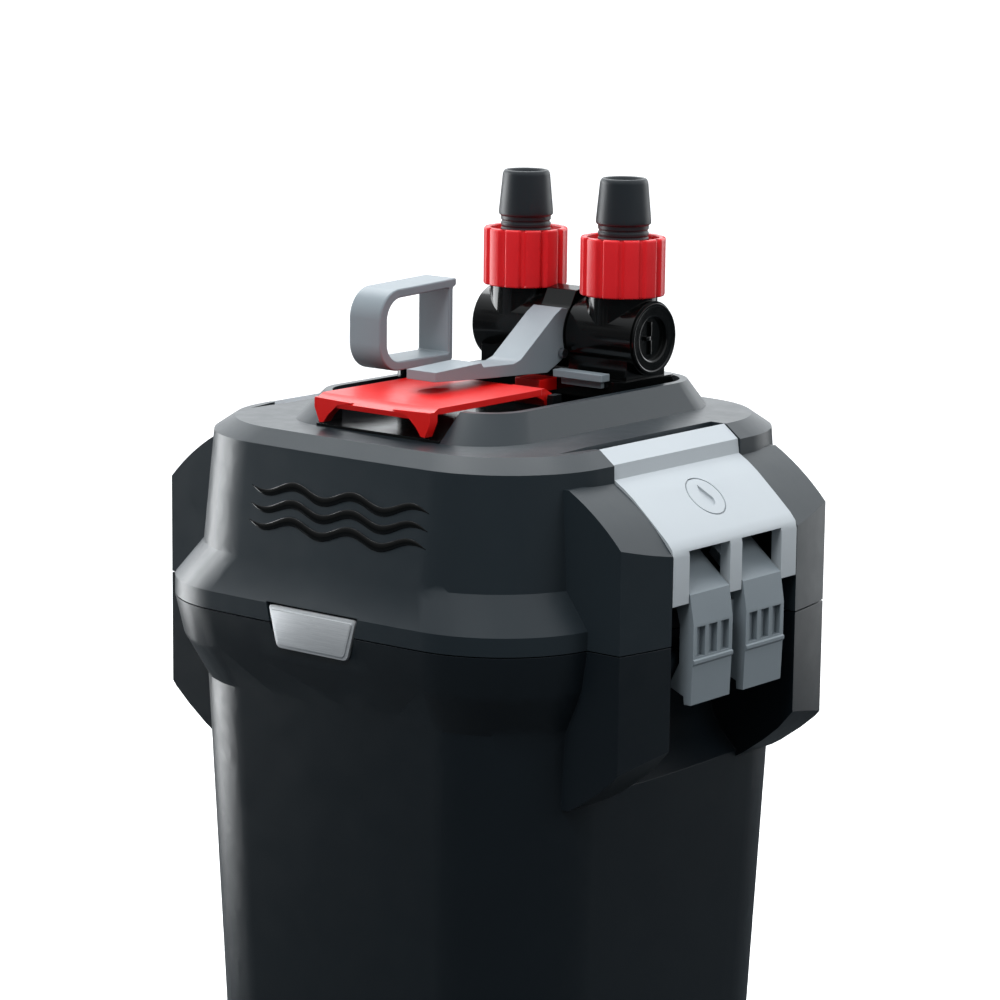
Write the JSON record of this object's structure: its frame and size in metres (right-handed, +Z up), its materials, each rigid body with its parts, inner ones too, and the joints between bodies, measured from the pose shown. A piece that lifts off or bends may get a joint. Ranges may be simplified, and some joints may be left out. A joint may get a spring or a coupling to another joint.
{
  "type": "canister filter",
  "caption": "Aquarium canister filter with a tapered tub, a lift-off motor head, two side clamps, a two-port shut-off valve with lever, a release flap and a primer handle.",
  "frame": {"origin": "centre of the base, on the surface it stands on", "axes": "+Z up, -Y towards the front face with the badge, +X towards the right clamp"},
  "size_m": [0.1916, 0.1722, 0.4199],
  "materials": {
    "tub_plastic": "satin moulded",
    "head_plastic": "satin moulded",
    "dark_plastic": "satin moulded",
    "valve_plastic": "gloss moulded",
    "rack_plastic": "moulded",
    "grey_plastic": "satin moulded",
    "clamp_plastic": "satin moulded silver",
    "red_plastic": "satin moulded",
    "nut_plastic": "satin moulded",
    "connector_rubber": "satin",
    "rubber": "matt",
    "steel": "ground",
    "badge_metal": "brushed",
    "core_steel": "stacked sheets",
    "coil_wire": "enamelled copper wire",
    "ceramic": "sintered",
    "magnet": "sintered ferrite",
    "impeller_plastic": "moulded",
    "foam": "open-cell foam",
    "fleece": "fibre fleece"
  },
  "bodies": {
    "canister": {"canister_shell": "tub_plastic", "rubber_feet": "rubber"},
    "foam_rack": {"foam_frame": "rack_plastic", "lower_foam": "foam", "upper_foam": "foam"},
    "basket_stack": {"lower_basket": "rack_plastic", "lower_basket_grid": "rack_plastic", "upper_basket": "rack_plastic", "upper_basket_grid": "rack_plastic", "basket_cover": "rack_plastic", "basket_handle": "grey_plastic", "ceramic_rings": "ceramic", "fine_pad": "fleece"},
    "head": {"head_shell": "head_plastic", "valve_tray": "dark_plastic", "head_base": "dark_plastic", "seal_ring": "rubber", "motor_pot": "dark_plastic", "rotor_well": "dark_plastic", "stator_core": "core_steel", "stator_coil": "coil_wire", "impeller_cover": "dark_plastic", "cover_screws": "steel", "shaft_bushes": "rubber", "ceramic_shaft": "ceramic", "outlet_duct": "dark_plastic", "inlet_duct": "dark_plastic", "primer_tube": "dark_plastic", "primer_guide": "valve_plastic", "cord_gland": "rubber", "front_badge": "badge_metal", "right_clamp_pin": "steel", "left_clamp_pin": "steel", "flap_pin": "steel"},
    "impeller": {"impeller_wheel": "impeller_plastic", "impeller_magnet": "magnet"},
    "primer": {"primer_piston": "valve_plastic", "primer_handle": "grey_plastic"},
    "right_clamp": {"right_clamp_arm": "clamp_plastic", "right_latch_pin": "steel"},
    "left_clamp": {"left_clamp_arm": "clamp_plastic", "left_latch_pin": "steel"},
    "right_latch": {"right_latch_lever": "grey_plastic"},
    "left_latch": {"left_latch_lever": "grey_plastic"},
    "valve": {"valve_body": "valve_plastic", "right_valve_cap": "valve_plastic", "left_valve_cap": "valve_plastic", "valve_o_rings": "rubber", "lock_bar": "grey_plastic", "release_catch": "red_plastic", "right_hose_connector": "connector_rubber", "left_hose_connector": "connector_rubber"},
    "valve_core": {"valve_rotor": "valve_plastic", "lever_hub": "valve_plastic", "valve_lever": "grey_plastic", "lever_pin": "steel"},
    "right_nut": {"right_lock_nut": "nut_plastic"},
    "left_nut": {"left_lock_nut": "nut_plastic"},
    "flap": {"release_flap": "red_plastic"}
  },
  "joints": [
    {"name": "head_lift", "type": "slide", "parent": "canister", "child": "head", "axis": [0, 0, 1], "range_m": [0, 0.12]},
    {"name": "basket_lift", "type": "slide", "parent": "canister", "child": "basket_stack", "axis": [0, 0, 1], "range_m": [0, 0.0721]},
    {"name": "foam_lift", "type": "slide", "parent": "canister", "child": "foam_rack", "axis": [0, 0, 1], "range_m": [0, 0.0541]},
    {"name": "right_clamp_hinge", "type": "hinge", "parent": "head", "child": "right_clamp", "pos_m": [0.067, 0, 0.3395], "axis": [0, -1, 0], "range_deg": [0, 85]},
    {"name": "left_clamp_hinge", "type": "hinge", "parent": "head", "child": "left_clamp", "pos_m": [-0.067, 0, 0.3395], "axis": [0, 1, 0], "range_deg": [0, 85]},
    {"name": "right_latch_hinge", "type": "hinge", "parent": "right_clamp", "child": "right_latch", "pos_m": [0.0915, 0, 0.3067], "axis": [0, -1, 0], "range_deg": [0, 25], "stiffness_Nm_per_rad": 0.05},
    {"name": "left_latch_hinge", "type": "hinge", "parent": "left_clamp", "child": "left_latch", "pos_m": [-0.0915, 0, 0.3067], "axis": [0, 1, 0], "range_deg": [0, 25], "stiffness_Nm_per_rad": 0.05},
    {"name": "impeller_spin", "type": "hinge", "parent": "head", "child": "impeller", "pos_m": [0.02, -0.012, 0.292], "axis": [0, 0, 1], "continuous": true},
    {"name": "primer_pull", "type": "slide", "parent": "head", "child": "primer", "axis": [0, 0, 1], "range_m": [0, 0.035]},
    {"name": "valve_lift", "type": "slide", "parent": "head", "child": "valve", "axis": [0, 0, 1], "range_m": [0, 0.045]},
    {"name": "valve_lever_hinge", "type": "hinge", "parent": "valve", "child": "valve_core", "pos_m": [0, 0.039, 0.3701], "axis": [-1, 0, 0], "range_deg": [0, 80]},
    {"name": "flap_hinge", "type": "hinge", "parent": "head", "child": "flap", "pos_m": [0, -0.0015, 0.3544], "axis": [-1, 0, 0], "range_deg": [0, 24.1]},
    {"name": "right_nut_turn", "type": "hinge", "parent": "valve", "child": "right_nut", "pos_m": [0.0197, 0.039, 0.392], "axis": [0, 0, 1], "continuous": true},
    {"name": "left_nut_turn", "type": "hinge", "parent": "valve", "child": "left_nut", "pos_m": [-0.0197, 0.039, 0.392], "axis": [0, 0, 1], "continuous": true}
  ],
  "couplings": [
    {"joint": "right_clamp_hinge", "follows": "head_lift", "rad_per_m": 12.363},
    {"joint": "left_clamp_hinge", "follows": "head_lift", "rad_per_m": 12.363},
    {"joint": "basket_lift", "follows": "head_lift", "ratio": 0.6},
    {"joint": "foam_lift", "follows": "head_lift", "ratio": 0.45},
    {"joint": "flap_hinge", "follows": "valve_lever_hinge", "ratio": 0.3}
  ]
}
